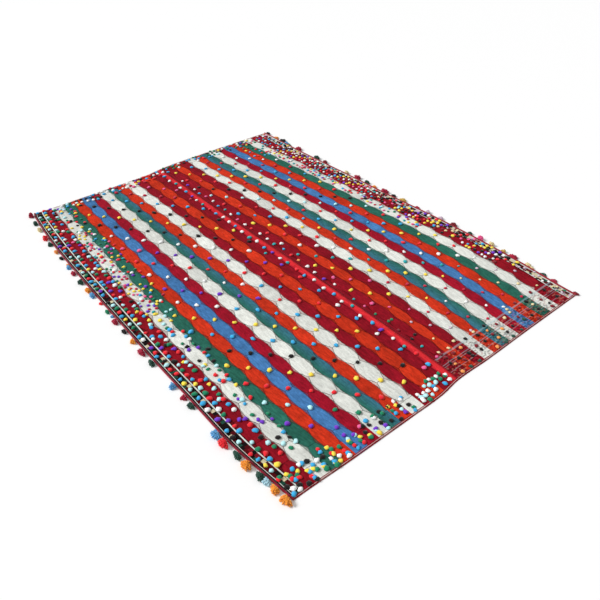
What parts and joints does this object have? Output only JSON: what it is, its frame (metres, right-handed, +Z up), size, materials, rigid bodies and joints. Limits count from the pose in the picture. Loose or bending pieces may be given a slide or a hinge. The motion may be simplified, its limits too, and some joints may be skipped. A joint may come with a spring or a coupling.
{
  "type": "jajim rug",
  "caption": "Flat-woven striped wool rug of two sewn panels, laid flat, with wool knots and pompom edgings on both long sides.",
  "frame": {"origin": "on the floor under the middle of the rug's outer box, pompoms included", "axes": "+Z up, +Y along the stripes towards the far end, +X across the stripes from the left long side to the right one"},
  "size_m": [1.506, 2.0422, 0.0258],
  "materials": {
    "woven_wool": "matt woven wool in lengthwise stripes of red, wine, white, blue and green",
    "edging_wool": "dark red woven edging with fluffy cut-wool pompoms in many colours",
    "knot_wool": "soft cut-wool knots and sewing yarn in many colours"
  },
  "bodies": {
    "root": {"panel_left": "woven_wool", "panel_right": "woven_wool", "edging_left": "edging_wool", "edging_right": "edging_wool"}
  },
  "joints": []
}
